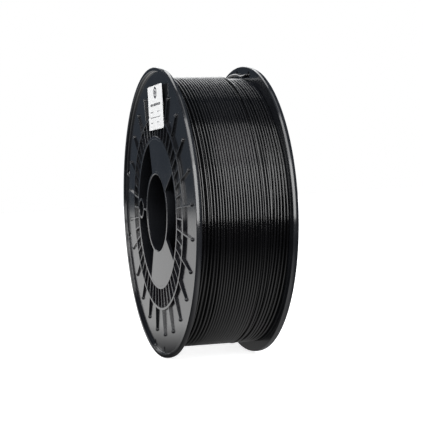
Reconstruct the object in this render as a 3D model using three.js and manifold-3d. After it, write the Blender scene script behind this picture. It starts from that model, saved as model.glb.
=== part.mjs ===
// A full 1 kg spool of 1.75 mm printer filament, standing on its two rims.
//
// The spool is two identical mouldings, each a flange with half of the winding drum and half of
// the hub tube. They meet at the middle of the drum, the rear one turned over about X.
//
// Millimetres, +Z up. The spool's axis is Y, the labelled flange faces -Y, and the origin is the
// centre of the spool. Angles on a flange run from +X towards +Z. Depths are measured inwards
// from the flange's outermost plane.

import * as THREE from 'three';
import { mergeVertices } from 'three/addons/utils/BufferGeometryUtils.js';
import Module from 'manifold-3d';

const wasm = await Module();
wasm.setup();

// Whole spool
const SPOOL_WIDTH = 67;
const FLANGE_RADIUS = 100;
const FLANGE_THICKNESS = 3.6;

// Levels of a flange's outer face
const RAISED_DEPTH = 0.5;
const PLATE_DEPTH = 2.1;

// Rim bead
const RIM_INNER_RADIUS = 97.2;
const RIM_OUTER_CHAMFER = 0.4;
const RIM_INNER_CHAMFER = 0.3;

// Rings, drum and hub tube
const DRUM_RADIUS = 52.8;
const DRUM_BORE_RADIUS = 50.7;
const OUTER_RING_RADII = [65.5, 67.3];
const HUB_RADIUS = 28.7;
const HUB_BORE_RADIUS = 26.5;
const MIDDLE_GAP = 0.3;

// How far the rear moulding is turned about the axis from the front one's mirror image
const REAR_TURN = -5;

// Ribs on the outer face
const FINE_RIB_COUNT = 48;
const FINE_RIB_START = 0;
const FINE_RIB_THICKNESS = 1;
const LONG_RIB_COUNT = 24;
const LONG_RIB_START = 7.5;
const LONG_RIB_THICKNESS = 1.3;
const LONG_RIB_END_RADIUS = 84;
const LONG_RIB_FALL = 0.5;
const RIB_BOSS_RADIUS = 1.4;
const RIB_BOSS_RISE = 0.25;

// Web between the hub tube and the drum
const WEB_SECTORS = [[34.5, 110], [248.5, 325.5]];
const WEB_THICKNESS = 2;

// Drive hole, a small tube beside the hub
const DRIVE_ANGLE = 180;
const DRIVE_CENTRE_RADIUS = 45.2;
const DRIVE_TUBE_RADIUS = 7.4;
const DRIVE_HOLE_RADIUS = 5.8;
const DRIVE_TUBE_LENGTH = 10;
const DRIVE_RIB_THICKNESS = 1.2;

// Holes by the rim: two slots that hold the filament's free end, and two round holes
const CLIP_SLOT_ANGLES = [260, 275];
const CLIP_SLOT_CENTRE_RADIUS = 95;
const CLIP_SLOT_WIDTH = 2.8;
const CLIP_SLOT_LENGTH = 4.6;
const ROUND_HOLE_ANGLES = [165, 195];
const ROUND_HOLE_CENTRE_RADIUS = 93;
const ROUND_HOLE_RADIUS = 3.2;

// Lap joint inside the drum, one half-round lip on each moulding
const LIP_ANGLES = [15, 165];
const LIP_THICKNESS = 1.5;
const LIP_ROOT = 6;
const LIP_REACH = 4;

// Filament
const FILAMENT_DIAMETER = 1.75;
const LAYER_PITCH = 1.5;
const WINDING_RADIUS = 93;
const OUTER_LAYER_END = 12.3;
const CLEARANCE = 0.3;
const TAIL_STEPS = 90;
const TAIL_LENGTH_PAST_FLANGE = 3.3;

// Label
const LABEL_SIZE = [38.5, 30];
const LABEL_THICKNESS = 0.15;
const LABEL_CENTRE = [4.9, 72.5];
const LABEL_TURN = 3.7;
const LABEL_TILT = 0.2;
const LABEL_LIFT = 0.12;

const HALF_WIDTH = SPOOL_WIDTH / 2;
const INNER_FACE = HALF_WIDTH - FLANGE_THICKNESS;

// Joins and cuts reach a little past the surfaces they meet.
const OVERLAP = 0.3;
const CUT_PAST = 1;

// Facets
const MERGE_DISTANCE = 1e-5;
const ROUND_STEPS = 72;
const SECTOR_ARC_STEPS = 12;
const DRIVE_STEPS = 24;
const ROUND_HOLE_STEPS = 16;
const BOSS_STEPS = 8;
const SLOT_ARC_STEPS = 6;
const STRAND_ARC_STEPS = 3;

const radians = THREE.MathUtils.degToRad;
const atDepth = (depth) => depth - HALF_WIDTH;
const aroundAxis = (angle) => -radians(angle);

// ---- Solids ----

function toSolid(geometry) {
  const bare = geometry.clone();
  bare.deleteAttribute('normal');
  bare.deleteAttribute('uv');
  const merged = mergeVertices(bare, MERGE_DISTANCE);
  return new wasm.Manifold(new wasm.Mesh({
    numProp: 3,
    vertProperties: new Float32Array(merged.attributes.position.array),
    triVerts: new Uint32Array(merged.index.array),
  }));
}

function toGeometry(solid) {
  const mesh = solid.getMesh();
  const geometry = new THREE.BufferGeometry();
  geometry.setAttribute('position', new THREE.BufferAttribute(mesh.vertProperties, 3));
  geometry.setIndex(new THREE.BufferAttribute(mesh.triVerts, 1));
  geometry.computeVertexNormals();
  return geometry;
}

// Turns an outline of [radius, y] corners, counter-clockwise with the radius to the right.
function turned(corners) {
  const outline = corners.map(([radius, y]) => new THREE.Vector2(radius, y));
  outline.push(outline[0].clone());
  return new THREE.LatheGeometry(outline, ROUND_STEPS);
}

// Extrudes a shape drawn in X and Z along Y, from yFront to yBack.
function slab(shape, yFront, yBack, curveSegments) {
  const options = { depth: yBack - yFront, bevelEnabled: false, curveSegments };
  const geometry = new THREE.ExtrudeGeometry(shape, options);
  return geometry.rotateX(Math.PI / 2).translate(0, yBack, 0);
}

// A flat bar from one radius to another, at an angle on the flange.
function radialBar(angle, innerRadius, outerRadius, thickness, yFront, yBack) {
  const bar = new THREE.BoxGeometry(outerRadius - innerRadius, yBack - yFront, thickness);
  bar.translate((innerRadius + outerRadius) / 2, (yFront + yBack) / 2, 0);
  return bar.rotateY(aroundAxis(angle));
}

// A round post along Y, centred at a radius and angle on the flange.
function post(angle, centreRadius, radius, yFront, yBack, steps) {
  const cylinder = new THREE.CylinderGeometry(radius, radius, yBack - yFront, steps);
  cylinder.translate(centreRadius, (yFront + yBack) / 2, 0);
  return cylinder.rotateY(aroundAxis(angle));
}

function sectorShape(innerRadius, outerRadius, startAngle, endAngle) {
  const shape = new THREE.Shape();
  shape.absarc(0, 0, outerRadius, radians(startAngle), radians(endAngle), false);
  shape.absarc(0, 0, innerRadius, radians(endAngle), radians(startAngle), true);
  return shape;
}

// ---- Moulding: flange, half drum and half hub tube ----

function flangeAndDrum() {
  const raised = atDepth(RAISED_DEPTH);
  const plate = atDepth(PLATE_DEPTH);
  const inner = atDepth(FLANGE_THICKNESS);
  const middle = -MIDDLE_GAP / 2;
  return turned([
    [DRUM_BORE_RADIUS, raised],
    [DRUM_RADIUS, raised],
    [DRUM_RADIUS, plate],
    [OUTER_RING_RADII[0], plate],
    [OUTER_RING_RADII[0], raised],
    [OUTER_RING_RADII[1], raised],
    [OUTER_RING_RADII[1], plate],
    [RIM_INNER_RADIUS, plate],
    [RIM_INNER_RADIUS, atDepth(RIM_INNER_CHAMFER)],
    [RIM_INNER_RADIUS + RIM_INNER_CHAMFER, atDepth(0)],
    [FLANGE_RADIUS - RIM_OUTER_CHAMFER, atDepth(0)],
    [FLANGE_RADIUS, atDepth(RIM_OUTER_CHAMFER)],
    [FLANGE_RADIUS, inner],
    [DRUM_RADIUS, inner],
    [DRUM_RADIUS, middle],
    [DRUM_BORE_RADIUS, middle],
  ]);
}

function hubTube() {
  return turned([
    [HUB_BORE_RADIUS, atDepth(RAISED_DEPTH)],
    [HUB_RADIUS, atDepth(RAISED_DEPTH)],
    [HUB_RADIUS, -MIDDLE_GAP / 2],
    [HUB_BORE_RADIUS, -MIDDLE_GAP / 2],
  ]);
}

function webSectors() {
  const inner = HUB_RADIUS - OVERLAP;
  const outer = DRUM_BORE_RADIUS + OVERLAP;
  const front = atDepth(RAISED_DEPTH);
  return WEB_SECTORS.map(([start, end]) =>
    slab(sectorShape(inner, outer, start, end), front, front + WEB_THICKNESS, SECTOR_ARC_STEPS));
}

function fineRibs() {
  const step = 360 / FINE_RIB_COUNT;
  const front = atDepth(RAISED_DEPTH);
  const back = atDepth(PLATE_DEPTH) + OVERLAP;
  return Array.from({ length: FINE_RIB_COUNT }, (_, i) => radialBar(
    FINE_RIB_START + i * step, DRUM_RADIUS - OVERLAP, OUTER_RING_RADII[0] + OVERLAP,
    FINE_RIB_THICKNESS, front, back));
}

// A rib along a radius whose top falls away towards the rim.
function slopingRib(angle, innerRadius, outerRadius, thickness, yInner, yOuter, yBack) {
  const side = new THREE.Shape([
    new THREE.Vector2(innerRadius, yBack),
    new THREE.Vector2(innerRadius, yInner),
    new THREE.Vector2(outerRadius, yOuter),
    new THREE.Vector2(outerRadius, yBack),
  ]);
  const bar = new THREE.ExtrudeGeometry(side, { depth: thickness, bevelEnabled: false });
  bar.translate(0, 0, -thickness / 2);
  return bar.rotateY(aroundAxis(angle));
}

function longRibs() {
  const step = 360 / LONG_RIB_COUNT;
  const top = atDepth(RAISED_DEPTH);
  const outerTop = top + LONG_RIB_FALL;
  const back = atDepth(PLATE_DEPTH) + OVERLAP;
  return Array.from({ length: LONG_RIB_COUNT }, (_, i) => {
    const angle = LONG_RIB_START + i * step;
    return [
      slopingRib(angle, OUTER_RING_RADII[1] - OVERLAP, LONG_RIB_END_RADIUS,
        LONG_RIB_THICKNESS, top, outerTop, back),
      post(angle, LONG_RIB_END_RADIUS, RIB_BOSS_RADIUS, outerTop - RIB_BOSS_RISE, back,
        BOSS_STEPS),
    ];
  }).flat();
}

function driveTube() {
  const front = atDepth(RAISED_DEPTH);
  const back = front + DRIVE_TUBE_LENGTH;
  const tubeInnerEdge = DRIVE_CENTRE_RADIUS - DRIVE_TUBE_RADIUS;
  return [
    post(DRIVE_ANGLE, DRIVE_CENTRE_RADIUS, DRIVE_TUBE_RADIUS, front, back, DRIVE_STEPS),
    radialBar(DRIVE_ANGLE, HUB_RADIUS - OVERLAP, tubeInnerEdge + OVERLAP,
      DRIVE_RIB_THICKNESS, front, back),
  ];
}

function jointLip() {
  const outer = DRUM_BORE_RADIUS - CLEARANCE;
  const inner = outer - LIP_THICKNESS;
  const rootEnd = -2 * MIDDLE_GAP;
  const [start, end] = LIP_ANGLES;
  const root = sectorShape(inner, DRUM_BORE_RADIUS + OVERLAP, start, end);
  const lip = sectorShape(inner, outer, start, end);
  return [
    slab(root, -LIP_ROOT, rootEnd, SECTOR_ARC_STEPS),
    slab(lip, rootEnd - OVERLAP, LIP_REACH, SECTOR_ARC_STEPS),
  ];
}

function clipSlot(angle, yFront, yBack) {
  const halfWidth = CLIP_SLOT_WIDTH / 2;
  const halfStraight = CLIP_SLOT_LENGTH / 2 - halfWidth;
  const outer = CLIP_SLOT_CENTRE_RADIUS + halfStraight;
  const inner = CLIP_SLOT_CENTRE_RADIUS - halfStraight;
  const shape = new THREE.Shape();
  shape.absarc(outer, 0, halfWidth, radians(-90), radians(90), false);
  shape.absarc(inner, 0, halfWidth, radians(90), radians(270), false);
  return slab(shape, yFront, yBack, SLOT_ARC_STEPS).rotateY(aroundAxis(angle));
}

function holeCutters() {
  const yFront = atDepth(PLATE_DEPTH) - CUT_PAST;
  const yBack = atDepth(FLANGE_THICKNESS) + CUT_PAST;
  const driveFront = atDepth(RAISED_DEPTH) - CUT_PAST;
  const driveBack = atDepth(RAISED_DEPTH) + DRIVE_TUBE_LENGTH + CUT_PAST;
  return [
    ...CLIP_SLOT_ANGLES.map((angle) => clipSlot(angle, yFront, yBack)),
    ...ROUND_HOLE_ANGLES.map((angle) =>
      post(angle, ROUND_HOLE_CENTRE_RADIUS, ROUND_HOLE_RADIUS, yFront, yBack, ROUND_HOLE_STEPS)),
    post(DRIVE_ANGLE, DRIVE_CENTRE_RADIUS, DRIVE_HOLE_RADIUS, driveFront, driveBack, DRIVE_STEPS),
  ];
}

function mouldingGeometry() {
  const added = [
    hubTube(), ...webSectors(), ...fineRibs(), ...longRibs(), ...driveTube(), ...jointLip(),
  ];
  let solid = toSolid(flangeAndDrum());
  for (const piece of added) {
    solid = solid.add(toSolid(piece));
  }
  for (const cutter of holeCutters()) {
    solid = solid.subtract(toSolid(cutter));
  }
  return toGeometry(solid);
}

// ---- Filament ----

function filamentCoil() {
  const inner = DRUM_RADIUS + CLEARANCE;
  const outer = WINDING_RADIUS - LAYER_PITCH - CLEARANCE;
  const end = INNER_FACE - CLEARANCE;
  return turned([[inner, -end], [outer, -end], [outer, end], [inner, end]]);
}

// The last layer, which stops part of the way across and leaves a step.
function filamentOuterLayer() {
  const inner = WINDING_RADIUS - LAYER_PITCH;
  const start = -(INNER_FACE - CLEARANCE);
  const edge = FILAMENT_DIAMETER / 4;
  return turned([
    [inner, start],
    [WINDING_RADIUS - edge, start],
    [WINDING_RADIUS, start + edge],
    [WINDING_RADIUS, OUTER_LAYER_END - edge],
    [WINDING_RADIUS - edge, OUTER_LAYER_END],
    [inner, OUTER_LAYER_END],
  ]);
}

// The free end leaves the last turn below the spool, crosses the lower layer on the far side, lies
// against the rear flange at the top and goes out through a clip slot. Its way is held as angle,
// radius and y.
function filamentTail() {
  const beside = INNER_FACE - FILAMENT_DIAMETER / 2 - CLEARANCE;
  const lying = WINDING_RADIUS - FILAMENT_DIAMETER / 2 + CLEARANCE;
  const slotAngle = 360 - CLIP_SLOT_ANGLES[1] + REAR_TURN;
  const way = new THREE.CatmullRomCurve3([
    new THREE.Vector3(285, lying, OUTER_LAYER_END + 2),
    new THREE.Vector3(240, lying, 16.5),
    new THREE.Vector3(200, lying, 19.5),
    new THREE.Vector3(160, lying, 22.5),
    new THREE.Vector3(130, lying + 0.5, 25.5),
    new THREE.Vector3(115, 95, 27.6),
    new THREE.Vector3(105, 96, beside),
    new THREE.Vector3(98, 95.2, beside),
    new THREE.Vector3(92, 94, beside),
    new THREE.Vector3(87, 92.9, beside - 0.2),
    new THREE.Vector3(83, 93.7, beside - 0.2),
    new THREE.Vector3(slotAngle, CLIP_SLOT_CENTRE_RADIUS, beside + 0.6),
    new THREE.Vector3(slotAngle, CLIP_SLOT_CENTRE_RADIUS, INNER_FACE + 1.4),
    new THREE.Vector3(slotAngle, CLIP_SLOT_CENTRE_RADIUS, INNER_FACE + TAIL_LENGTH_PAST_FLANGE),
  ], false, 'centripetal');
  const points = way.getSpacedPoints(TAIL_STEPS).map(({ x: angle, y: radius, z: y }) =>
    new THREE.Vector3(radius * Math.cos(radians(angle)), y, radius * Math.sin(radians(angle))));
  const path = new THREE.CatmullRomCurve3(points, false, 'centripetal');
  const section = new THREE.Shape().absarc(0, 0, FILAMENT_DIAMETER / 2, 0, radians(360), false);
  return new THREE.ExtrudeGeometry(section, {
    steps: TAIL_STEPS, curveSegments: STRAND_ARC_STEPS, extrudePath: path,
  });
}

// ---- Label ----

function labelGeometry() {
  const [width, height] = LABEL_SIZE;
  return new THREE.BoxGeometry(width, LABEL_THICKNESS, height);
}

// ---- Assembly ----

function material(color, roughness) {
  return new THREE.MeshStandardMaterial({ color, roughness, metalness: 0 });
}

function mesh(name, geometry, color, roughness) {
  const part = new THREE.Mesh(geometry, material(color, roughness));
  part.name = name;
  return part;
}

const SPOOL_BLACK = 0x17181b;
const FILAMENT_BLACK = 0x0c0c0e;
const LABEL_WHITE = 0xf4f4f2;
const PLASTIC_ROUGHNESS = 0.25;
const FILAMENT_ROUGHNESS = 0.2;
const PAPER_ROUGHNESS = 0.7;

const moulding = mouldingGeometry();
const frontFlange = mesh('front_flange', moulding, SPOOL_BLACK, PLASTIC_ROUGHNESS);
const rearFlange = mesh('rear_flange', moulding, SPOOL_BLACK, PLASTIC_ROUGHNESS);
rearFlange.rotation.set(radians(180), aroundAxis(REAR_TURN), 0, 'YXZ');

const label = mesh('label', labelGeometry(), LABEL_WHITE, PAPER_ROUGHNESS);
label.rotation.set(radians(LABEL_TILT), aroundAxis(LABEL_TURN), 0, 'YXZ');
const labelRise = (LABEL_SIZE[1] / 2) * Math.sin(radians(LABEL_TILT));
const labelDepth = RAISED_DEPTH - LABEL_LIFT - LABEL_THICKNESS / 2 - labelRise;
label.position.set(LABEL_CENTRE[0], atDepth(labelDepth), LABEL_CENTRE[1]);

const spool = new THREE.Group();
spool.add(frontFlange, rearFlange, label);
const strandParts = {
  filament_coil: filamentCoil(),
  filament_outer_layer: filamentOuterLayer(),
  filament_tail: filamentTail(),
};
for (const [name, geometry] of Object.entries(strandParts)) {
  spool.add(mesh(name, geometry, FILAMENT_BLACK, FILAMENT_ROUGHNESS));
}

export default spool;
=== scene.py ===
"""The looks of a full filament spool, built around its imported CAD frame.

Lengths are in millimetres until a mesh is made, and angles are in degrees. The spool's axis is Y, the
labelled flange faces -Y, angles on a flange run from +X towards +Z, and depths on a flange are
measured inwards from its outermost plane.
"""

import math
import random

import bmesh
import bpy
from mathutils import Matrix, Vector


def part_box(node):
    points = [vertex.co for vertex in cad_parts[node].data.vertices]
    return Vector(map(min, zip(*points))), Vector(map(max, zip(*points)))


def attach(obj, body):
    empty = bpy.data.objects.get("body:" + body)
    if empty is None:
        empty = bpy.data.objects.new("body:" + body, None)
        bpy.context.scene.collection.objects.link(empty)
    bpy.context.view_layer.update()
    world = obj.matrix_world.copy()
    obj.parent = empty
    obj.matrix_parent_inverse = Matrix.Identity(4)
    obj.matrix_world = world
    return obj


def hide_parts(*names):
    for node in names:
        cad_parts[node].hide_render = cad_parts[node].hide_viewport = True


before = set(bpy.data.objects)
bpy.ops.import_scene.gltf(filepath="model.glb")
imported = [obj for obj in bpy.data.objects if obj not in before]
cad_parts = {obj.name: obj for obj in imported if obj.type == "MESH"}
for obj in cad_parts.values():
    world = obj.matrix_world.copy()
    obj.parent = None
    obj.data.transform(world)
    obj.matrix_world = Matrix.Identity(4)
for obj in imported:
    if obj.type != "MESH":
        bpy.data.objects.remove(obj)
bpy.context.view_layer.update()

MM = 0.001
BODY = "root"


def cad_box_mm(node):
    """Lowest and highest corner of a CAD node, in millimetres."""
    low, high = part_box(node)
    return low / MM, high / MM


# ---- Sizes from the frame ----

FLANGE_RADIUS = cad_box_mm("front_flange")[1].x
HALF_WIDTH = -cad_box_mm("front_flange")[0].y
COIL_END = cad_box_mm("filament_coil")[1].y
WINDING_RADIUS = cad_box_mm("filament_outer_layer")[1].x
OUTER_LAYER_END = cad_box_mm("filament_outer_layer")[1].y
LABEL_LOW, LABEL_HIGH = cad_box_mm("label")

# ---- Sizes of the moulding, as in the CAD part ----

FLANGE_THICKNESS = 3.6
RAISED_DEPTH = 0.5
PLATE_DEPTH = 2.1
RIM_INNER_RADIUS = 97.2
DRUM_RADIUS = 52.8
DRUM_BORE_RADIUS = 50.7
OUTER_RING_RADII = (65.5, 67.3)
HUB_RADIUS = 28.7
HUB_BORE_RADIUS = 26.5
MIDDLE_GAP = 0.3
REAR_TURN = -5.0

FINE_RIB_COUNT = 48
FINE_RIB_START = 0.0
FINE_RIB_THICKNESS = 1.0
LONG_RIB_COUNT = 24
LONG_RIB_START = 7.5
LONG_RIB_THICKNESS = 1.3
LONG_RIB_END_RADIUS = 84.0
LONG_RIB_FALL = 0.5
RIB_BOSS_RADIUS = 1.4
RIB_BOSS_RISE = 0.25

WEB_SECTORS = ((34.5, 110.0), (248.5, 325.5))
WEB_THICKNESS = 2.0

DRIVE_ANGLE = 180.0
DRIVE_CENTRE_RADIUS = 45.2
DRIVE_TUBE_RADIUS = 7.4
DRIVE_HOLE_RADIUS = 5.8
DRIVE_TUBE_LENGTH = 10.0
DRIVE_RIB_THICKNESS = 1.2

CLIP_SLOT_ANGLES = (260.0, 275.0)
CLIP_SLOT_CENTRE_RADIUS = 95.0
CLIP_SLOT_WIDTH = 2.8
CLIP_SLOT_LENGTH = 4.6
ROUND_HOLE_ANGLES = (165.0, 195.0)
ROUND_HOLE_CENTRE_RADIUS = 93.0
ROUND_HOLE_RADIUS = 3.2

LIP_ANGLES = (15.0, 165.0)
LIP_THICKNESS = 1.5
LIP_ROOT = 6.0
LIP_REACH = 4.0

# ---- Filament ----

# Layers lie closer than a strand's diameter, as if every turn settled between those below it. The
# turns aren't made to settle, so they cut into the layer below by up to about 0.3 mm.
STRAND_RADIUS = 0.875
LAYER_PITCH = 1.5
TURN_PITCH = 1.75
TURN_RADIUS = STRAND_RADIUS - 0.01
SIDE_WANDER = 0.10
LIFT_WANDER = 0.06
WANDER_CYCLES = (0.37, 0.83, 1.61, 2.71)
STRAND_SIDES = 16
WINDING_STEP = 2.0
TAIL_STEP = 1.5
INNER_FACE = HALF_WIDTH - FLANGE_THICKNESS
STRAND_LEVEL = WINDING_RADIUS - STRAND_RADIUS
TAIL_LIFT = 0.3
TAIL_PAST_FLANGE = 3.3

# ---- Label ----

LABEL_SIZE = (38.5, 30.0)
LABEL_THICKNESS = 0.15
LABEL_CORNER = 1.0
LABEL_TURN = 3.7
LABEL_TILT = 0.2
LABEL_CURL = 0.25
LABEL_CELLS = (40, 60)
PRINT_THICKNESS = 0.03
PRINT_SUNK = 0.02
PRINT_CELL = 1.5
WORD_LENGTHS = (0.05, 0.11)
WORD_GAP = 0.022
SHORTEST_WORD = 0.03
HEADING_HEIGHT = 1.7
LINE_HEIGHT = 0.55

# ---- Mesh detail ----

ROUND_STEPS = 360
CORE_STEPS = 180
SECTOR_STEPS = 48
HOLE_STEPS = 48
DRIVE_STEPS = 72
SLOT_END_STEPS = 12
MARK_STEPS = 48
ARC_STEPS = 3
MERGE_DISTANCE = 0.002
SHARP_ANGLE = 35.0
STRAND_SHARP_ANGLE = 60.0

EDGE_ROUND = 0.22
FOOT_ROUND = 0.12
RIM_EDGE_ROUND = 0.3
RIM_FOOT_ROUND = 0.6
RIM_BULGE = 0.3
RIM_SIDE_STEPS = 8
FLANGE_TO_DRUM_ROUND = 0.8
HUB_MOUTH_ROUND = 0.5
SEAM_ROUND = 0.1
WEB_EDGE_STEP = 0.07
BOSS_DOME = 1.3
BOSS_STEPS = 24
HOLE_FLARE = 0.25

# How far joined bodies reach into each other, cutters reach past a face, and the top of one body
# stays under the next one's
EMBED = 0.4
CUT_PAST = 0.5
UNDER_TOP = 0.04


def at_depth(depth):
    """The y of a depth on the front flange."""
    return depth - HALF_WIDTH


# ---- Mesh building ----


def make_object(name, vertices, faces):
    """A closed mesh object from millimetre vertices, with its faces turned outwards."""
    mesh = bpy.data.meshes.new(name)
    mesh.from_pydata([Vector(v) * MM for v in vertices], [], faces)
    obj = bpy.data.objects.new(name, mesh)
    bpy.context.scene.collection.objects.link(obj)
    work = bmesh.new()
    work.from_mesh(mesh)
    bmesh.ops.recalc_face_normals(work, faces=work.faces)
    work.to_mesh(mesh)
    work.free()
    return obj


def rounded(corners, steps=ARC_STEPS):
    """A closed outline from (x, y, radius) corners, each corner replaced by an arc of that radius."""
    points = []
    count = len(corners)
    for i, (x, y, radius) in enumerate(corners):
        corner = Vector((x, y))
        if radius == 0:
            points.append(corner)
            continue
        before = (Vector(corners[i - 1][:2]) - corner).normalized()
        after = (Vector(corners[(i + 1) % count][:2]) - corner).normalized()
        half = before.angle(after) / 2
        reach = radius / math.tan(half)
        centre = corner + (before + after).normalized() * radius / math.sin(half)
        start = corner + before * reach - centre
        end = corner + after * reach - centre
        for k in range(steps + 1):
            spread = start.lerp(end, k / steps)
            points.append(centre + spread.normalized() * radius)
    return [(p.x, p.y) for p in points]


def turned(name, outline, steps=ROUND_STEPS):
    """Turns a closed outline of (radius, y) points about the Y axis."""
    count = len(outline)
    vertices = []
    for i in range(steps):
        angle = 2 * math.pi * i / steps
        cos, sin = math.cos(angle), math.sin(angle)
        vertices += [(r * cos, y, r * sin) for r, y in outline]
    faces = []
    for i in range(steps):
        j = (i + 1) % steps
        for k in range(count):
            m = (k + 1) % count
            faces.append((i * count + k, i * count + m, j * count + m, j * count + k))
    return make_object(name, vertices, faces)


def lofted(name, loops):
    """Joins loops with the same number of 3D points into a closed body with flat ends."""
    count = len(loops[0])
    vertices = [p for loop in loops for p in loop]
    faces = [tuple(range(count)), tuple((len(loops) - 1) * count + k for k in range(count))]
    for i in range(len(loops) - 1):
        for k in range(count):
            m = (k + 1) % count
            a = i * count
            b = a + count
            faces.append((a + k, a + m, b + m, b + k))
    return make_object(name, vertices, faces)


def joined(name, objects):
    """One object that holds several, without merging their meshes."""
    work = bmesh.new()
    for obj in objects:
        work.from_mesh(obj.data)
        bpy.data.objects.remove(obj)
    mesh = bpy.data.meshes.new(name)
    work.to_mesh(mesh)
    work.free()
    result = bpy.data.objects.new(name, mesh)
    bpy.context.scene.collection.objects.link(result)
    return result


def combine(target, tool, operation):
    """Changes target by a boolean with tool, which is used up."""
    modifier = target.modifiers.new("combine", "BOOLEAN")
    modifier.solver = "MANIFOLD"
    modifier.operation = operation
    modifier.object = tool
    graph = bpy.context.evaluated_depsgraph_get()
    mesh = bpy.data.meshes.new_from_object(target.evaluated_get(graph))
    target.modifiers.remove(modifier)
    old = target.data
    target.data = mesh
    bpy.data.meshes.remove(old)
    bpy.data.objects.remove(tool)


def smooth_shaded(obj, sharp_angle=SHARP_ANGLE):
    """Smooth shading, kept crisp over sharp_angle, with flat faces left looking flat."""
    work = bmesh.new()
    work.from_mesh(obj.data)
    bmesh.ops.remove_doubles(work, verts=work.verts, dist=MERGE_DISTANCE * MM)
    bmesh.ops.dissolve_degenerate(work, edges=work.edges, dist=MERGE_DISTANCE * MM)
    work.to_mesh(obj.data)
    work.free()
    obj.data.shade_smooth()
    obj.data.set_sharp_from_angle(angle=math.radians(sharp_angle))
    weighted = obj.modifiers.new("weighted_normals", "WEIGHTED_NORMAL")
    weighted.keep_sharp = True
    weighted.weight = 100
    return obj


# ---- The moulding ----


def on_flange(angle, radius, side, y):
    """The point at an angle and radius on the flange, moved sideways, at a height along the axis."""
    cos, sin = math.cos(math.radians(angle)), math.sin(math.radians(angle))
    return (radius * cos - side * sin, y, radius * sin + side * cos)


def rib(angle, inner, outer, thickness, depth, back, fall=0.0):
    """A radial rib with a rounded top, which may fall away by a depth towards its outer end."""
    half = thickness / 2
    loops = []
    for radius, top in ((inner, at_depth(depth)), (outer, at_depth(depth + fall))):
        corners = [(-half, back, 0), (-half, top, EDGE_ROUND), (half, top, EDGE_ROUND), (half, back, 0)]
        section = rounded(corners)
        loops.append([on_flange(angle, radius, side, y) for side, y in section])
    return lofted("rib", loops)


def round_post(angle, centre_radius, radius, depth, back, edge, steps):
    """A round post with a rounded top edge."""
    x, _, z = on_flange(angle, centre_radius, 0, 0)
    top = at_depth(depth)
    levels = [(radius, back)]
    for k in range(ARC_STEPS + 1):
        turn = math.pi / 2 * k / ARC_STEPS
        levels.append((radius - edge + edge * math.cos(turn), top + edge - edge * math.sin(turn)))
    loops = []
    for r, y in levels:
        circle = (2 * math.pi * k / steps for k in range(steps))
        loops.append([(x + r * math.cos(a), y, z + r * math.sin(a)) for a in circle])
    return lofted("post", loops)


def sector(name, inner, outer, start, end, levels):
    """A flat ring sector through levels of (inset, y), where inset draws in its two straight edges."""
    loops = []
    for inset, y in levels:
        loop = []
        for radius, first, last in ((outer, start, end), (inner, end, start)):
            shrink = math.degrees(math.asin(inset / radius)) * (1 if first == start else -1)
            low, high = first + shrink, last - shrink
            for k in range(SECTOR_STEPS + 1):
                loop.append(on_flange(low + (high - low) * k / SECTOR_STEPS, radius, 0, y))
        loops.append(loop)
    return lofted(name, loops)


def rim_side():
    """The rim's outer side, from crest to inner face: bulging slightly, with rounded corners."""
    side = [(FLANGE_RADIUS - RIM_BULGE, at_depth(0), RIM_EDGE_ROUND)]
    for k in range(1, RIM_SIDE_STEPS):
        part = k / RIM_SIDE_STEPS
        bulge = RIM_BULGE * 4 * part * (1 - part)
        side.append((FLANGE_RADIUS - RIM_BULGE + bulge, at_depth(FLANGE_THICKNESS * part), 0))
    side.append((FLANGE_RADIUS - RIM_BULGE, at_depth(FLANGE_THICKNESS), RIM_EDGE_ROUND))
    return side


def flange_and_drum():
    """The flange's plate, rim and two rings, with its half of the drum."""
    raised = at_depth(RAISED_DEPTH)
    plate = at_depth(PLATE_DEPTH)
    inner = at_depth(FLANGE_THICKNESS)
    middle = -MIDDLE_GAP / 2
    return turned(
        "moulding",
        rounded(
            [
                (DRUM_BORE_RADIUS, raised, EDGE_ROUND),
                (DRUM_RADIUS, raised, EDGE_ROUND),
                (DRUM_RADIUS, plate, FOOT_ROUND),
                (OUTER_RING_RADII[0], plate, FOOT_ROUND),
                (OUTER_RING_RADII[0], raised, EDGE_ROUND),
                (OUTER_RING_RADII[1], raised, EDGE_ROUND),
                (OUTER_RING_RADII[1], plate, FOOT_ROUND),
                (RIM_INNER_RADIUS, plate, RIM_FOOT_ROUND),
                (RIM_INNER_RADIUS, at_depth(0), RIM_EDGE_ROUND),
                *rim_side(),
                (DRUM_RADIUS, inner, FLANGE_TO_DRUM_ROUND),
                (DRUM_RADIUS, middle, SEAM_ROUND),
                (DRUM_BORE_RADIUS, middle, SEAM_ROUND),
            ]
        ),
    )


def hub_tube():
    """The moulding's half of the hub tube."""
    raised = at_depth(RAISED_DEPTH)
    middle = -MIDDLE_GAP / 2
    corners = [
        (HUB_BORE_RADIUS, raised, HUB_MOUTH_ROUND),
        (HUB_RADIUS, raised, EDGE_ROUND),
        (HUB_RADIUS, middle, SEAM_ROUND),
        (HUB_BORE_RADIUS, middle, SEAM_ROUND),
    ]
    return turned("hub", rounded(corners))


def web_sectors():
    """The flat webs between the hub tube and the drum."""
    front = at_depth(RAISED_DEPTH) + UNDER_TOP
    levels = [(EDGE_ROUND, front), (WEB_EDGE_STEP, front + WEB_EDGE_STEP), (0, front + EDGE_ROUND)]
    levels.append((0, front + WEB_THICKNESS))
    inner, outer = HUB_RADIUS - EMBED, DRUM_BORE_RADIUS + EMBED
    return joined("webs", [sector("web", inner, outer, a, b, levels) for a, b in WEB_SECTORS])


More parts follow.
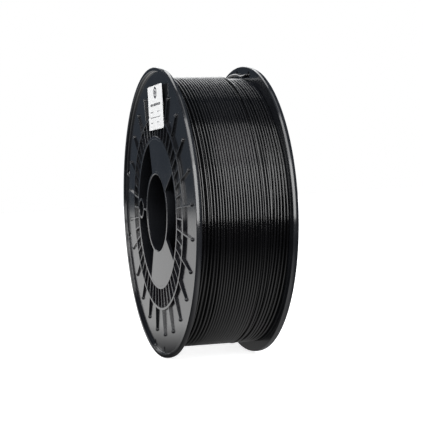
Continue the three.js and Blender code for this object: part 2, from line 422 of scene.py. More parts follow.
def fine_ribs():
    """The short ribs between the drum and the outer ring."""
    back = at_depth(PLATE_DEPTH) + EMBED
    ribs = []
    for i in range(FINE_RIB_COUNT):
        angle = FINE_RIB_START + i * 360 / FINE_RIB_COUNT
        inner, outer = DRUM_RADIUS - EMBED, OUTER_RING_RADII[0] + EMBED
        ribs.append(rib(angle, inner, outer, FINE_RIB_THICKNESS, RAISED_DEPTH + UNDER_TOP, back))
    return joined("fine_ribs", ribs)


def long_rib_angles():
    return [LONG_RIB_START + i * 360 / LONG_RIB_COUNT for i in range(LONG_RIB_COUNT)]


def long_ribs():
    """The ribs outside the outer ring, which fall away towards the rim."""
    back = at_depth(PLATE_DEPTH) + EMBED
    inner, outer = OUTER_RING_RADII[1] - EMBED, LONG_RIB_END_RADIUS
    depth = RAISED_DEPTH + UNDER_TOP
    ribs = []
    for angle in long_rib_angles():
        ribs.append(rib(angle, inner, outer, LONG_RIB_THICKNESS, depth, back, LONG_RIB_FALL))
    return joined("long_ribs", ribs)


def rib_bosses():
    """The small domed bosses at the ends of the long ribs."""
    back = at_depth(PLATE_DEPTH) + EMBED
    depth = RAISED_DEPTH + LONG_RIB_FALL - RIB_BOSS_RISE
    bosses = []
    for angle in long_rib_angles():
        place = (angle, LONG_RIB_END_RADIUS, RIB_BOSS_RADIUS)
        bosses.append(round_post(*place, depth, back, BOSS_DOME, BOSS_STEPS))
    return joined("rib_bosses", bosses)


def drive_tube():
    """The solid post that becomes the drive tube once its hole is cut."""
    depth = RAISED_DEPTH + 2 * UNDER_TOP
    back = at_depth(RAISED_DEPTH) + 2 * UNDER_TOP + DRIVE_TUBE_LENGTH
    place = (DRIVE_ANGLE, DRIVE_CENTRE_RADIUS, DRIVE_TUBE_RADIUS)
    return round_post(*place, depth, back, EDGE_ROUND, DRIVE_STEPS)


def drive_rib():
    """The rib from the hub tube to the drive tube."""
    back = at_depth(RAISED_DEPTH) + DRIVE_TUBE_LENGTH - EMBED
    inner, outer = HUB_RADIUS - EMBED, DRIVE_CENTRE_RADIUS - DRIVE_TUBE_RADIUS + EMBED
    return rib(DRIVE_ANGLE, inner, outer, DRIVE_RIB_THICKNESS, RAISED_DEPTH + 3 * UNDER_TOP, back)


def joint_lip():
    """The half-round lip inside the drum that laps into the other moulding."""
    outer = DRUM_BORE_RADIUS - MIDDLE_GAP
    inner = outer - LIP_THICKNESS
    root_end = -2 * MIDDLE_GAP
    root_levels = [(0, -LIP_ROOT), (0, root_end)]
    lip_levels = [(0, root_end - EMBED), (0, LIP_REACH)]
    root = sector("lip_root", inner, DRUM_BORE_RADIUS + EMBED, *LIP_ANGLES, root_levels)
    combine(root, sector("lip", inner, outer, *LIP_ANGLES, lip_levels), "UNION")
    return root


def flared(outline, y_front, y_back):
    """A cutter along Y that follows outline(inset) and widens at both faces."""
    levels = [
        (-HOLE_FLARE - CUT_PAST, y_front - CUT_PAST),
        (0, y_front + HOLE_FLARE),
        (0, y_back - HOLE_FLARE),
        (-HOLE_FLARE - CUT_PAST, y_back + CUT_PAST),
    ]
    return lofted("cutter", [[(x, y, z) for x, z in outline(inset)] for inset, y in levels])


def round_outline(angle, centre_radius, radius, steps):
    """A round hole's outline, as a function of how far it is drawn in."""
    x, _, z = on_flange(angle, centre_radius, 0, 0)

    def outline(inset):
        turns = (2 * math.pi * k / steps for k in range(steps))
        return [(x + (radius - inset) * math.cos(a), z + (radius - inset) * math.sin(a)) for a in turns]

    return outline


def slot_outline(angle):
    """A radial round-ended slot's outline, as a function of how far it is drawn in."""
    half_straight = (CLIP_SLOT_LENGTH - CLIP_SLOT_WIDTH) / 2

    def outline(inset):
        radius = CLIP_SLOT_WIDTH / 2 - inset
        points = []
        for end in (1, -1):
            for k in range(SLOT_END_STEPS + 1):
                turn = math.pi * k / SLOT_END_STEPS - math.pi / 2
                along = end * (half_straight + radius * math.cos(turn))
                side = end * radius * math.sin(turn)
                x, _, z = on_flange(angle, CLIP_SLOT_CENTRE_RADIUS + along, side, 0)
                points.append((x, z))
        return points

    return outline


def hole_cutters():
    """The cutters for the slots and round holes by the rim, and for the drive hole."""
    front, back = at_depth(PLATE_DEPTH), at_depth(FLANGE_THICKNESS)
    drive_front = at_depth(RAISED_DEPTH)
    outlines = [slot_outline(a) for a in CLIP_SLOT_ANGLES]
    for angle in ROUND_HOLE_ANGLES:
        outlines.append(round_outline(angle, ROUND_HOLE_CENTRE_RADIUS, ROUND_HOLE_RADIUS, HOLE_STEPS))
    cutters = [flared(o, front, back) for o in outlines]
    drive = round_outline(DRIVE_ANGLE, DRIVE_CENTRE_RADIUS, DRIVE_HOLE_RADIUS, DRIVE_STEPS)
    cutters.append(flared(drive, drive_front, drive_front + DRIVE_TUBE_LENGTH))
    return joined("holes", cutters)


def moulding(name):
    """One half of the spool, with its flange at the front."""
    body = flange_and_drum()
    added = (hub_tube, web_sectors, fine_ribs, long_ribs, rib_bosses, drive_tube, drive_rib, joint_lip)
    for make in added:
        combine(body, make(), "UNION")
    combine(body, hole_cutters(), "DIFFERENCE")
    body.name = name
    return smooth_shaded(body)


def turned_over(obj, name):
    """A copy turned half round about X and then about the axis, which makes the rear moulding."""
    copy = obj.copy()
    copy.data = obj.data.copy()
    about_axis = Matrix.Rotation(-math.radians(REAR_TURN), 4, "Y")
    copy.data.transform(about_axis @ Matrix.Rotation(math.pi, 4, "X"))
    copy.name = name
    bpy.context.scene.collection.objects.link(copy)
    return copy


# ---- The filament ----


def around(angle, radius, y):
    """The point at an angle and radius about the axis."""
    turn = math.radians(angle)
    return Vector((radius * math.cos(turn), y, radius * math.sin(turn)))


def strand(name, way):
    """A closed round tube along a way of (angle, radius, y) points."""
    centres = [around(*point) for point in way]
    last = len(centres) - 1
    ring = [2 * math.pi * k / STRAND_SIDES for k in range(STRAND_SIDES)]
    loops = []
    for i, centre in enumerate(centres):
        along = (centres[min(i + 1, last)] - centres[max(i - 1, 0)]).normalized()
        outward = Vector((centre.x, 0, centre.z)).normalized()
        outward = (outward - along * outward.dot(along)).normalized()
        side = along.cross(outward)
        loops.append([centre + (outward * math.cos(a) + side * math.sin(a)) * TURN_RADIUS for a in ring])
    return lofted(name, loops)


def smoothstep(value, start, end):
    """Zero up to start and one beyond end, with a smooth rise between."""
    part = min(max((value - start) / (end - start), 0.0), 1.0)
    return part * part * (3 - 2 * part)


def wander(amount, seed):
    """A slow seeded wobble along the strand, as a function of the angle wound so far."""
    draw = random.Random(seed)
    waves = [(cycles, draw.uniform(0, 2 * math.pi)) for cycles in WANDER_CYCLES]
    return lambda angle: sum(
        amount / len(waves) * math.sin(cycles * math.radians(angle) + phase) for cycles, phase in waves
    )


def helix(name, start_angle, sense, turns, y_at, radius_at, seed):
    """A strand wound for a number of turns, its angle rising or falling by sense, 1 or -1.

    y and radius are functions of the angle wound so far.
    """
    sideways = wander(SIDE_WANDER, seed)
    upwards = wander(LIFT_WANDER, seed + 1)
    way = []
    free = INNER_FACE - STRAND_RADIUS
    for i in range(round(turns * 360 / WINDING_STEP) + 1):
        wound = i * WINDING_STEP
        angle = start_angle + sense * wound
        y = y_at(wound)
        lean = LEAN * math.sin(math.radians(angle)) * (1 - smoothstep(abs(y), *LEAN_FADE))
        y += sideways(wound) - lean
        way.append((angle, radius_at(wound) + upwards(wound), min(max(y, -free), free)))
    return strand(name, way)


def along(values, place):
    """The value at a fractional place in a list, the last one beyond its end."""
    low = min(int(place), len(values) - 1)
    high = min(low + 1, len(values) - 1)
    return values[low] + (values[high] - values[low]) * (place - low)


def below_middle(angle, start, end):
    """One on the +X side well below the middle, fading to zero between two angles and behind."""
    angle = (angle + 180) % 360 - 180
    return smoothstep(angle, *UNDERSIDE_FADE) * (1 - smoothstep(angle, start, end))


# The turns lean towards the front flange at the top, and towards the rear one at the bottom
LEAN = 0.5
LEAN_FADE = (INNER_FACE - 6, INNER_FACE - STRAND_RADIUS)

# Where loose turns start to sag on the underside, and where that ends for the front and rear ones
UNDERSIDE_FADE = (-145.0, -95.0)
SLUMP_FADE = (-40.0, 5.0)
SLIP_FADE = (-55.0, 48.0)

# The turns of the last layer, counted where they pass TURN_MARK, from the front flange to the step
TURN_MARK = 38.0
LOOSE_SPACINGS = (3.0, 2.6, 2.2, 2.1, 2.0, 1.85, 1.8)
SLUMPS = (0.0, 1.2, 2.0, 1.6, 1.0, 0.5, 0.0)
LAST_TURN = OUTER_LAYER_END - 1.3
STRAY_TURN = OUTER_LAYER_END + 1.9
STRAY_JUMP = (0.5, 0.85)
TAIL_RISE = 0.4
TAIL_START = (-75.0, STRAND_LEVEL + TAIL_LIFT, OUTER_LAYER_END + 2)


def outer_turn_positions():
    """The y of each outer turn at TURN_MARK, and then of the strand where the free end starts."""
    positions = [-INNER_FACE + STRAND_RADIUS]
    for spacing in LOOSE_SPACINGS:
        positions.append(positions[-1] + spacing)
    even = round((LAST_TURN - positions[-1]) / TURN_PITCH)
    step = (LAST_TURN - positions[-1]) / even
    for _ in range(even):
        positions.append(positions[-1] + step)
    return positions + [STRAY_TURN, TAIL_START[2]]


def outer_turns():
    """The last layer, front to rear, ending where the free end starts.

    The loose turns by the front flange slump towards it on the +X side below the middle, and the
    last turn but one jumps away from its neighbours on the far side.
    """
    positions = outer_turn_positions()
    stray = len(positions) - 3
    end_part = (TURN_MARK - TAIL_START[0]) / 360
    turns = len(positions) - 2 + end_part

    def y_at(wound):
        turn = min(int(wound / 360), len(positions) - 2)
        part = wound / 360 - turn
        if turn == stray:
            low = positions[turn] + TURN_PITCH * part
            return low + (positions[turn + 1] - low) * smoothstep(part, *STRAY_JUMP)
        if turn > stray:
            return positions[turn] + (positions[turn + 1] - positions[turn]) * min(part / end_part, 1)
        slump = along(SLUMPS, wound / 360) * below_middle(TURN_MARK - wound, *SLUMP_FADE)
        return positions[turn] + (positions[turn + 1] - positions[turn]) * part - slump

    def radius_at(wound):
        return STRAND_LEVEL + TAIL_LIFT * smoothstep(wound / 360, turns - TAIL_RISE, turns)

    return helix("outer_turns", TURN_MARK, -1, turns, y_at, radius_at, 3)


LOWER_LEVEL = STRAND_LEVEL - LAYER_PITCH
DEEP_LEVEL = LOWER_LEVEL - LAYER_PITCH
CORE_EDGE_ROUND = 0.8
LOWER_START_ANGLE = -40.0
LOWER_LAST_TURN = 18.88
DEEP_TURNS_UNDER = 3


def lower_turns():
    """The layer under the last one, at about its slope, and a few turns of the next one down.

    The turns of the next one down cross under the others, cut slightly into them, and are half sunk
    in the core.
    """
    start = -INNER_FACE + STRAND_RADIUS
    turns = (LOWER_LAST_TURN - start) / TURN_PITCH
    lower = helix(
        "lower_turns",
        LOWER_START_ANGLE,
        1,
        turns,
        lambda wound: LOWER_LAST_TURN - TURN_PITCH * wound / 360,
        lambda wound: LOWER_LEVEL,
        11,
    )
    deep_end = INNER_FACE - STRAND_RADIUS
    deep_start = LOWER_LAST_TURN - DEEP_TURNS_UNDER * TURN_PITCH
    turns = (deep_end - deep_start) / TURN_PITCH
    deep = helix(
        "deep_turns",
        LOWER_START_ANGLE,
        1,
        turns,
        lambda wound: deep_start + TURN_PITCH * wound / 360,
        lambda wound: DEEP_LEVEL,
        17,
    )
    return joined("lower_turns", [lower, deep])


REAR_TURN_COUNT = 6
REAR_CLIMB = 40.0
SLIP_RISE = 0.15
REAR_SLIPS = (3.5, 3.3, 2.9, 2.3, 1.3, 0.0)


def rear_turns():
    """Loose turns by the rear flange, which slip over the lower layer on the +X side below the middle."""
    last = INNER_FACE - STRAND_RADIUS
    homes = [last - TURN_PITCH * (REAR_TURN_COUNT - 1 - i) for i in range(REAR_TURN_COUNT)]

    def slipped(wound):
        return below_middle(wound, *SLIP_FADE)

    def y_at(wound):
        return along(homes, wound / 360) - along(REAR_SLIPS, wound / 360) * slipped(wound)

    def radius_at(wound):
        climbed = smoothstep(wound, 0, REAR_CLIMB)
        return LOWER_LEVEL + LAYER_PITCH * smoothstep(slipped(wound), 0, SLIP_RISE) * climbed

    return helix("rear_turns", 0, 1, REAR_TURN_COUNT - 0.5, y_at, radius_at, 23)


def coil_core():
    """The layers below, seen only through gaps between turns."""
    inner = DRUM_RADIUS + MIDDLE_GAP
    corners = [
        (inner, -COIL_END, 0),
        (DEEP_LEVEL, -COIL_END, CORE_EDGE_ROUND),
        (DEEP_LEVEL, COIL_END, CORE_EDGE_ROUND),
        (inner, COIL_END, 0),
    ]
    return turned("coil_core", rounded(corners), CORE_STEPS)


def spline(points, step):
    """A centripetal Catmull-Rom curve through (angle, radius, y) points, cut at about every step mm."""
    points = [Vector(p) for p in points]
    points = [2 * points[0] - points[1]] + points + [2 * points[-1] - points[-2]]
    way = []
    for a, b, c, d in zip(points, points[1:], points[2:], points[3:]):
        gap_0, gap_1, gap_2 = (math.sqrt((q - p).length) for p, q in ((a, b), (b, c), (c, d)))
        slope_b = (b - a) / gap_0 - (c - a) / (gap_0 + gap_1) + (c - b) / gap_1
        slope_c = (c - b) / gap_1 - (d - b) / (gap_1 + gap_2) + (d - c) / gap_2
        count = max(round((around(*c) - around(*b)).length / step), 2)
        for k in range(count):
            t = k / count
            way.append(
                b * (2 * t**3 - 3 * t**2 + 1)
                + slope_b * gap_1 * (t**3 - 2 * t**2 + t)
                + c * (3 * t**2 - 2 * t**3)
                + slope_c * gap_1 * (t**3 - t**2)
            )
    return way + [points[-2]]


def free_end():
    """The free end crosses the lower layer on the far side, and leaves by a slot in the rear flange."""
    lying = STRAND_LEVEL + TAIL_LIFT
    beside = INNER_FACE - STRAND_RADIUS - TAIL_LIFT
    slot_angle = 360 - CLIP_SLOT_ANGLES[1] + REAR_TURN
    points = [
        (TAIL_START[0] + 360, *TAIL_START[1:]),
        (240, lying, 16.5),
        (200, lying, 19.5),
        (160, lying, 22.5),
        (130, lying + 0.5, 25.5),
        (115, 95, 27.6),
        (105, 96, beside),
        (98, 95.2, beside),
        (92, 94, beside),
        (87, 92.9, beside - 0.2),
        (83, 93.7, beside - 0.2),
        (slot_angle, CLIP_SLOT_CENTRE_RADIUS, beside + 0.6),
        (slot_angle, CLIP_SLOT_CENTRE_RADIUS, INNER_FACE + 1.4),
        (slot_angle, CLIP_SLOT_CENTRE_RADIUS, INNER_FACE + TAIL_PAST_FLANGE),
    ]
    return strand("free_end", spline(points, TAIL_STEP))


# ---- The label ----


def label_point(across, up, lift):
    """A point on the label, from its centre, at a distance out from its lower face."""
    middle = (LABEL_LOW + LABEL_HIGH) / 2
    turn = math.radians(LABEL_TURN)
    tilt = math.radians(LABEL_TILT)
    right = Vector((math.cos(turn), 0, math.sin(turn)))
    upward = Vector((-math.sin(turn) * math.cos(tilt), -math.sin(tilt), math.cos(turn) * math.cos(tilt)))
    outward = right.cross(upward)
    curl = LABEL_CURL * (abs(2 * across / LABEL_SIZE[0]) ** 6) * (0.5 + up / LABEL_SIZE[1]) ** 2
    return middle + right * across + upward * up + outward * (lift - LABEL_THICKNESS / 2 + curl)


def sheet(name, left, right, bottom, top, low, high, inset_at=lambda up: 0, cells=(1, 1)):
    """A thin closed sheet that follows the label's surface, from a low to a high lift."""
    columns, rows = cells
    vertices = []
    for lift in (low, high):
        for j in range(rows + 1):
            up = bottom + (top - bottom) * j / rows
            inset = inset_at(up)
            for i in range(columns + 1):
                across = left + inset + (right - left - 2 * inset) * i / columns
                vertices.append(label_point(across, up, lift))
    width = columns + 1
    layer = width * (rows + 1)
    faces = []
    for j in range(rows):
        for i in range(columns):
            a = j * width + i
            quad = (a, a + 1, a + width + 1, a + width)
            faces += [quad, tuple(layer + k for k in reversed(quad))]
    edge = list(range(columns))
    edge += [columns + j * width for j in range(rows)]
    edge += [rows * width + i for i in range(columns, 0, -1)]
    edge += [j * width for j in range(rows, 0, -1)]
    for a, b in zip(edge, edge[1:] + edge[:1]):
        faces.append((a, b, layer + b, layer + a))
    return make_object(name, vertices, faces)


def label_sheet():
    """The blank sticker, with rounded corners and its upper corners curling slightly."""
    half_width, half_height = LABEL_SIZE[0] / 2, LABEL_SIZE[1] / 2

    def corner_inset(up):
        into = max(abs(up) - (half_height - LABEL_CORNER), 0)
        return LABEL_CORNER - math.sqrt(max(LABEL_CORNER**2 - into**2, 0))

    sides = (-half_width, half_width, -half_height, half_height)
    return sheet("label_sheet", *sides, 0, LABEL_THICKNESS, corner_inset, LABEL_CELLS)


def printed_bar(left, right, middle, height):
    """A bar of print, placed by fractions of the label's width and height from its top left."""
    width, tall = LABEL_SIZE
    x0, x1 = (left - 0.5) * width, (right - 0.5) * width
    z = (0.5 - middle) * tall
    low, high = LABEL_THICKNESS - PRINT_SUNK, LABEL_THICKNESS + PRINT_THICKNESS
    cells = (max(round((x1 - x0) / PRINT_CELL), 1), 1)
    return sheet("bar", x0, x1, z - height / 2, z + height / 2, low, high, cells=cells)


def printed_words(left, right, middle, height, seed):
    """A row of short bars with gaps, like a line of words too small to read."""
    draw = random.Random(seed)
    bars = []
    at = left
    while at < right - SHORTEST_WORD:
        end = min(at + draw.uniform(*WORD_LENGTHS), right)
        bars.append(printed_bar(at, end, middle, height))
        at = end + WORD_GAP
    return bars


def printed_ring(middle, outer, inner):
    """A plain round mark: a ring, or a disc when inner is zero."""
    z = (0.5 - middle) * LABEL_SIZE[1]
    low, high = LABEL_THICKNESS - PRINT_SUNK, LABEL_THICKNESS + PRINT_THICKNESS
    steps = MARK_STEPS
    loops = []
    for radius, lift in ((outer, low), (outer, high), (max(inner, 0.01), high), (max(inner, 0.01), low)):
        turns = [2 * math.pi * k / steps for k in range(steps)]
        loops.append([label_point(radius * math.cos(t), z + radius * math.sin(t), lift) for t in turns])
    vertices = [p for loop in loops for p in loop]
    faces = []
    for row in range(4):
        after = (row + 1) % 4
        for k in range(steps):
            m = (k + 1) % steps
            faces.append((row * steps + k, row * steps + m, after * steps + m, after * steps + k))
    return make_object("mark", vertices, faces)


def label_print():
    """A plain round mark, a heading and a few lines, all without lettering."""
    pieces = [printed_ring(0.165, 4.1, 2.5), printed_ring(0.165, 1.7, 0)]
    pieces += printed_words(0.16, 0.82, 0.435, HEADING_HEIGHT, 5)
    pieces += printed_words(0.14, 0.32, 0.60, LINE_HEIGHT, 6)
    pieces += printed_words(0.62, 0.80, 0.60, LINE_HEIGHT, 7)
    pieces += printed_words(0.14, 0.80, 0.72, LINE_HEIGHT, 8)
    pieces += printed_words(0.14, 0.32, 0.84, LINE_HEIGHT, 9)
    pieces += printed_words(0.58, 0.72, 0.84, LINE_HEIGHT, 10)
    return joined("label_print", pieces)


# ---- Materials ----


class Shader:
    """A node material around one Principled BSDF, with noise scales per metre of the object."""

    def __init__(self, name):
        self.material = bpy.data.materials.new(name)
        self.material.use_nodes = True
        self.tree = self.material.node_tree
        self.surface = self.tree.nodes["Principled BSDF"]
        self.place = self.tree.nodes.new("ShaderNodeTexCoord").outputs["Object"]

    def link(self, source, node, socket):
        self.tree.links.new(source, node.inputs[socket])

    def scaled(self, x, y, z):
        mapping = self.tree.nodes.new("ShaderNodeMapping")
        mapping.inputs["Scale"].default_value = (x, y, z)
        self.link(self.place, mapping, "Vector")
        return mapping.outputs["Vector"]

    def noise(self, scale, detail=2.0, place=None):
        node = self.tree.nodes.new("ShaderNodeTexNoise")
        node.inputs["Scale"].default_value = scale
        node.inputs["Detail"].default_value = detail
        self.link(place or self.place, node, "Vector")
        return node.outputs["Fac"]

    def ranged(self, source, low, high, start=0.3, end=0.7):
        node = self.tree.nodes.new("ShaderNodeMapRange")
        for socket, value in (("From Min", start), ("From Max", end), ("To Min", low), ("To Max", high)):
            node.inputs[socket].default_value = value
        self.link(source, node, "Value")
        return node.outputs["Result"]

    def mixed(self, source, first, second):
        node = self.tree.nodes.new("ShaderNodeMix")
        node.data_type = "RGBA"
        self.link(source, node, "Factor")
        for socket, value in (("A", first), ("B", second)):
            port = next(i for i in node.inputs if i.name == socket and i.type == "RGBA")
            if isinstance(value, tuple):
                port.default_value = (*value, 1)
            else:
                self.tree.links.new(value, port)
        return next(o for o in node.outputs if o.type == "RGBA")

    def calculated(self, operation, first, second=0.0):
        """One step of arithmetic on sockets or numbers."""
        node = self.tree.nodes.new("ShaderNodeMath")
        node.operation = operation
        for port, value in zip(node.inputs, (first, second)):
            if isinstance(value, float):
                port.default_value = value
            else:
                self.tree.links.new(value, port)
        return node.outputs["Value"]

    def bump(self, height, strength, distance, below=None):
        node = self.tree.nodes.new("ShaderNodeBump")
        node.inputs["Strength"].default_value = strength
        node.inputs["Distance"].default_value = distance * MM
        self.link(height, node, "Height")
        if below:
            self.link(below, node, "Normal")
        return node.outputs["Normal"]


def spool_plastic():
    """Black moulded plastic: polished, with faint flow marks and fine grain."""
    shader = Shader("spool_plastic")
    flow = shader.noise(45, 3)
    grain = shader.noise(1400, 2)
    colour = shader.mixed(shader.ranged(flow, 0, 1), (0.007, 0.0075, 0.009), (0.012, 0.013, 0.015))
    shader.link(colour, shader.surface, "Base Color")
    shader.link(shader.ranged(flow, 0.13, 0.17), shader.surface, "Roughness")
    shader.surface.inputs["IOR"].default_value = 1.52
    waves = shader.bump(shader.noise(55, 1), 0.10, 0.2)
    shader.link(shader.bump(grain, 0.03, 0.01, waves), shader.surface, "Normal")
    return shader.material


def filament_plastic():
    """Glossy black strand, each turn a little different, with faint scuffs along it."""
    shader = Shader("filament_plastic")
    per_turn = shader.noise(1, 1, shader.scaled(8, 420, 8))
    scuffs = shader.noise(1, 1, shader.scaled(40, 500, 40))
    colour = shader.mixed(shader.ranged(per_turn, 0, 1), (0.0012, 0.0012, 0.0014), (0.0035, 0.0035, 0.004))
    shader.link(colour, shader.surface, "Base Color")
    shader.link(shader.ranged(scuffs, 0.14, 0.19), shader.surface, "Roughness")
    shader.surface.inputs["IOR"].default_value = 1.50
    shader.link(shader.bump(scuffs, 0.05, 0.01), shader.surface, "Normal")
    return shader.material


def label_paper():
    """Matt white label paper with a faint fibre."""
    shader = Shader("label_paper")
    fibre = shader.noise(2600, 4)
    cloud = shader.noise(90, 2)
    colour = shader.mixed(shader.ranged(cloud, 0, 1), (0.90, 0.90, 0.89), (0.94, 0.94, 0.94))
    shader.link(colour, shader.surface, "Base Color")
    shader.link(shader.ranged(fibre, 0.45, 0.6), shader.surface, "Roughness")
    shader.link(shader.bump(fibre, 0.2, 0.02), shader.surface, "Normal")
    return shader.material


def label_ink():
    """Dark grey print with slightly uneven cover."""
    shader = Shader("label_ink")
    cover = shader.noise(900, 3)
    colour = shader.mixed(shader.ranged(cover, 0, 1), (0.035, 0.035, 0.04), (0.10, 0.10, 0.11))
    shader.link(colour, shader.surface, "Base Color")
    shader.link(shader.ranged(cover, 0.4, 0.55), shader.surface, "Roughness")
    return shader.material


# The floor's own glow to the camera, and its glow in reflections: behind the spool, on the -X side,
# and in a patch beside it, on the +X side, each fading over a reach along X or Y
FLOOR_GLOW = 0.95
FLOOR_GLOW_BEHIND = 1.0
FLOOR_GLOW_BESIDE = 1.0
FLOOR_FAR_SHARE = 0.08
FLOOR_SIDE_FADE = (-120.0, 0.0)
FLOOR_FAR_FADE = (130.0, 260.0)
FLOOR_NEAR_SHARE = 0.2
FLOOR_NEAR_FADE = (20.0, 110.0)
FLOOR_FRONT_FADE = (-60.0, 0.0)
FLOOR_PATCH_Y = 20.0
FLOOR_PATCH_FADE = (12.0, 60.0)


def floor_surface():
    """A plain pale floor, which reflections see as a glow behind the spool and a patch beside it."""
    shader = Shader("floor")
    tree = shader.tree
    tone = shader.mixed(shader.ranged(shader.noise(3, 2), 0, 1), (0.82, 0.82, 0.82), (0.84, 0.84, 0.84))
    shader.link(tone, shader.surface, "Base Color")
    shader.surface.inputs["Roughness"].default_value = 0.8
    shader.link(tone, shader.surface, "Emission Color")
    shader.surface.inputs["Emission Strength"].default_value = FLOOR_GLOW

    place = tree.nodes.new("ShaderNodeSeparateXYZ")
    shader.link(shader.place, place, "Vector")
    x, y = place.outputs["X"], place.outputs["Y"]

    def faded(source, near, far, reach):
        return shader.ranged(source, near, far, *(at * MM for at in reach))

    off_middle = shader.calculated("ABSOLUTE", shader.calculated("SUBTRACT", y, FLOOR_PATCH_Y * MM))
    across = faded(off_middle, 1, FLOOR_FAR_SHARE, FLOOR_PATCH_FADE)
    outwards = faded(x, 1, FLOOR_FAR_SHARE, FLOOR_FAR_FADE)
    patch = shader.calculated("MULTIPLY", across, outwards)
    patch = shader.calculated("MULTIPLY", patch, faded(x, FLOOR_NEAR_SHARE, 1, FLOOR_NEAR_FADE))
    beside = faded(x, 0, 1, FLOOR_SIDE_FADE)
    lit = shader.calculated("MULTIPLY", beside, shader.calculated("MULTIPLY", patch, FLOOR_GLOW_BESIDE))
    in_front = faded(y, FLOOR_GLOW_BEHIND, FLOOR_FAR_SHARE, FLOOR_FRONT_FADE)
    behind = shader.calculated("MULTIPLY", shader.ranged(beside, 1, 0, 0, 1), in_front)
    mirrored = tree.nodes.new("ShaderNodeEmission")
    tree.links.new(shader.calculated("ADD", lit, behind), mirrored.inputs["Strength"])

    path = tree.nodes.new("ShaderNodeLightPath")
    mix = tree.nodes.new("ShaderNodeMixShader")
    tree.links.new(path.outputs["Is Camera Ray"], mix.inputs["Fac"])
    tree.links.new(mirrored.outputs["Emission"], mix.inputs[1])
    tree.links.new(shader.surface.outputs["BSDF"], mix.inputs[2])
    tree.links.new(mix.outputs["Shader"], tree.nodes["Material Output"].inputs["Surface"])
    return shader.material


# ---- Assembly ----


def fitted(piece, material, slot, *replaced):
    """Rides a finished piece on the spool, with its material and the CAD nodes it stands for."""
    piece.data.materials.clear()
    piece.data.materials.append(material)
    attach(piece, BODY)
    if replaced:
        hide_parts(*replaced)


def assemble():
    """Makes every piece and fits it in place of its CAD node."""
    black = spool_plastic()
    front = moulding("front_moulding")
    rear = turned_over(front, "rear_moulding")
    fitted(front, black, "spool_plastic", "front_flange")
    fitted(rear, black, "spool_plastic", "rear_flange")
    strand_black = filament_plastic()
    fitted(smooth_shaded(coil_core()), strand_black, "filament", "filament_coil")
    for piece in (lower_turns(), rear_turns()):
        fitted(smooth_shaded(piece, STRAND_SHARP_ANGLE), strand_black, "filament")
    for piece, node in ((outer_turns(), "filament_outer_layer"), (free_end(), "filament_tail")):
        fitted(smooth_shaded(piece, STRAND_SHARP_ANGLE), strand_black, "filament", node)
    fitted(smooth_shaded(label_sheet()), label_paper(), "label_paper", "label")
    fitted(smooth_shaded(label_print()), label_ink(), "label_paper")


# ---- Studio ----

CAMERA_AZIMUTH = 73.484
CAMERA_ELEVATION = 4.526
CAMERA_ROLL = -1.097
CAMERA_DISTANCE = 840.2
CAMERA_LENS = 102.38
CAMERA_SENSOR = 36.0
CAMERA_SHIFT = (0.0217, -0.0017)

FLOOR_REACH = 1250.0
FLOOR_SIDE = 6000.0
FLOOR_GAP = 0.05

ROOM_COLOUR = (0.066, 0.081, 0.102, 1)

# Name, azimuth, elevation, distance, width, height and radiance
LIGHTS = (
    ("key_low", 90, 17, 1400, 950, 1100, 8.2),
    ("key_high", 90, 57, 1400, 700, 1000, 5.2),
    ("fill", 10, 25, 1600, 900, 900, 8.0),
    ("behind", -95, 20, 1800, 1600, 500, 2.2),
    ("above", -108, 50, 1800, 280, 1300, 2.8),
    ("overhead", 180, 78, 1800, 900, 280, 1.3),
)


def direction(azimuth, elevation):
    """From the spool: azimuth 0 is towards -Y and 90 towards +X."""
    a, e = math.radians(azimuth), math.radians(elevation)
    return Vector((math.sin(a) * math.cos(e), -math.cos(a) * math.cos(e), math.sin(e)))


def place_camera():
    data = bpy.data.cameras.new("camera")
    data.lens = CAMERA_LENS
    data.sensor_width = CAMERA_SENSOR
    data.shift_x, data.shift_y = CAMERA_SHIFT
    camera = bpy.data.objects.new("camera", data)
    bpy.context.scene.collection.objects.link(camera)
    back = direction(CAMERA_AZIMUTH, CAMERA_ELEVATION)
    right = direction(CAMERA_AZIMUTH + 90, 0)
    turn = Matrix.Rotation(math.radians(CAMERA_ROLL), 3, back)
    axes = Matrix((turn @ right, turn @ back.cross(right), back)).transposed()
    camera.matrix_world = Matrix.Translation(back * CAMERA_DISTANCE * MM) @ axes.to_4x4()
    bpy.context.scene.camera = camera


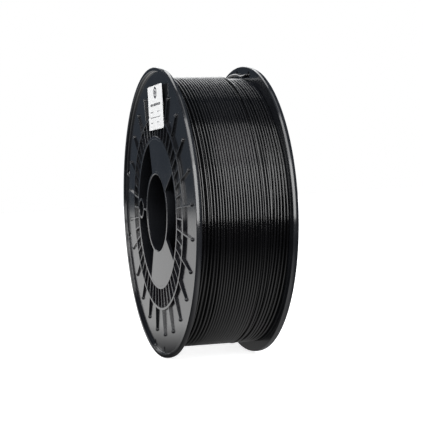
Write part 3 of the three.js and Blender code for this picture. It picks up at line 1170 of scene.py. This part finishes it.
def soft_light(name, azimuth, elevation, distance, width, height, radiance):
    """A rectangular soft light that faces the spool, by its direction, size in mm and radiance."""
    data = bpy.data.lights.new(name, "AREA")
    data.shape = "RECTANGLE"
    data.size, data.size_y = width * MM, height * MM
    data.energy = radiance * math.pi * data.size * data.size_y
    light = bpy.data.objects.new(name, data)
    bpy.context.scene.collection.objects.link(light)
    towards = direction(azimuth, elevation)
    light.location = towards * distance * MM
    light.rotation_euler = towards.to_track_quat("Z", "Y").to_euler()
    light.visible_camera = False


def pale_floor():
    """The floor ends at FLOOR_REACH on the -X and -Y side, and runs on far past the camera."""
    half = FLOOR_SIDE / 2
    away = direction(-CAMERA_AZIMUTH, 0)
    across = Vector((-away.y, away.x, 0))
    z = -FLANGE_RADIUS - FLOOR_GAP
    corners = [
        away * FLOOR_REACH - across * half,
        away * FLOOR_REACH + across * half,
        away * (FLOOR_REACH - FLOOR_SIDE) + across * half,
        away * (FLOOR_REACH - FLOOR_SIDE) - across * half,
    ]
    mesh = bpy.data.meshes.new("floor")
    mesh.from_pydata([Vector((c.x, c.y, z)) * MM for c in corners], [], [(0, 1, 2, 3)])
    floor = bpy.data.objects.new("floor", mesh)
    bpy.context.scene.collection.objects.link(floor)
    mesh.materials.append(floor_surface())


def studio_world():
    """White to the camera, and a dim cool room to everything else."""
    world = bpy.data.worlds.new("studio")
    bpy.context.scene.world = world
    world.use_nodes = True
    tree = world.node_tree
    room = tree.nodes["Background"]
    room.inputs["Color"].default_value = ROOM_COLOUR
    white = tree.nodes.new("ShaderNodeBackground")
    white.inputs["Color"].default_value = (1, 1, 1, 1)
    path = tree.nodes.new("ShaderNodeLightPath")
    mix = tree.nodes.new("ShaderNodeMixShader")
    tree.links.new(path.outputs["Is Camera Ray"], mix.inputs["Fac"])
    tree.links.new(room.outputs["Background"], mix.inputs[1])
    tree.links.new(white.outputs["Background"], mix.inputs[2])
    tree.links.new(mix.outputs["Shader"], tree.nodes["World Output"].inputs["Surface"])


def studio():
    """The room, floor, camera and lights."""
    bpy.context.scene.view_settings.view_transform = "Standard"
    studio_world()
    pale_floor()
    place_camera()
    for light in LIGHTS:
        soft_light(*light)


assemble()
studio()
